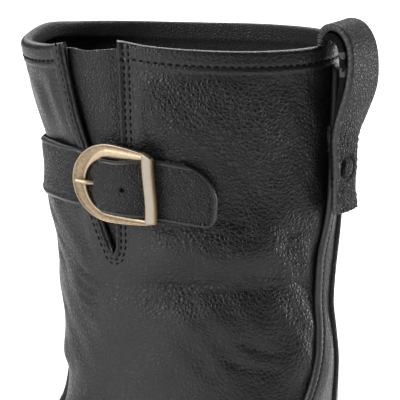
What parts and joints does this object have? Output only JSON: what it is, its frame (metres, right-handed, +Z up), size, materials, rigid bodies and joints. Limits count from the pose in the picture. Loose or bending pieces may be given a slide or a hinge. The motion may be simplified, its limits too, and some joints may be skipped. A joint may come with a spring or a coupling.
{
  "type": "ankle boot",
  "caption": "Black leather pull-on ankle boot with a buckled strap over a side gusset at the collar, a pull loop at the back, a welted lug sole and a low block heel.",
  "frame": {"origin": "on the floor under the middle of the boot's box", "axes": "+X from toe to heel, -Y towards the outer side of the foot, +Z up"},
  "size_m": [0.2901, 0.1045, 0.2726],
  "materials": {
    "upper_leather": "black pebbled leather, semi-gloss",
    "lining_leather": "dark matt lining leather",
    "edge_leather": "black dyed and waxed edge",
    "sole_rubber": "matt black rubber",
    "buckle_brass": "aged, brushed brass"
  },
  "bodies": {
    "root": {"outsole": "sole_rubber", "heel": "edge_leather", "heel_lift": "sole_rubber", "welt": "edge_leather", "insole": "lining_leather", "upper": "upper_leather", "vamp": "upper_leather", "counter": "upper_leather", "back_piping": "upper_leather", "gusset": "upper_leather", "strap": "upper_leather", "chape": "upper_leather", "buckle_frame": "buckle_brass", "prong": "buckle_brass", "pull_loop": "upper_leather"}
  },
  "joints": []
}
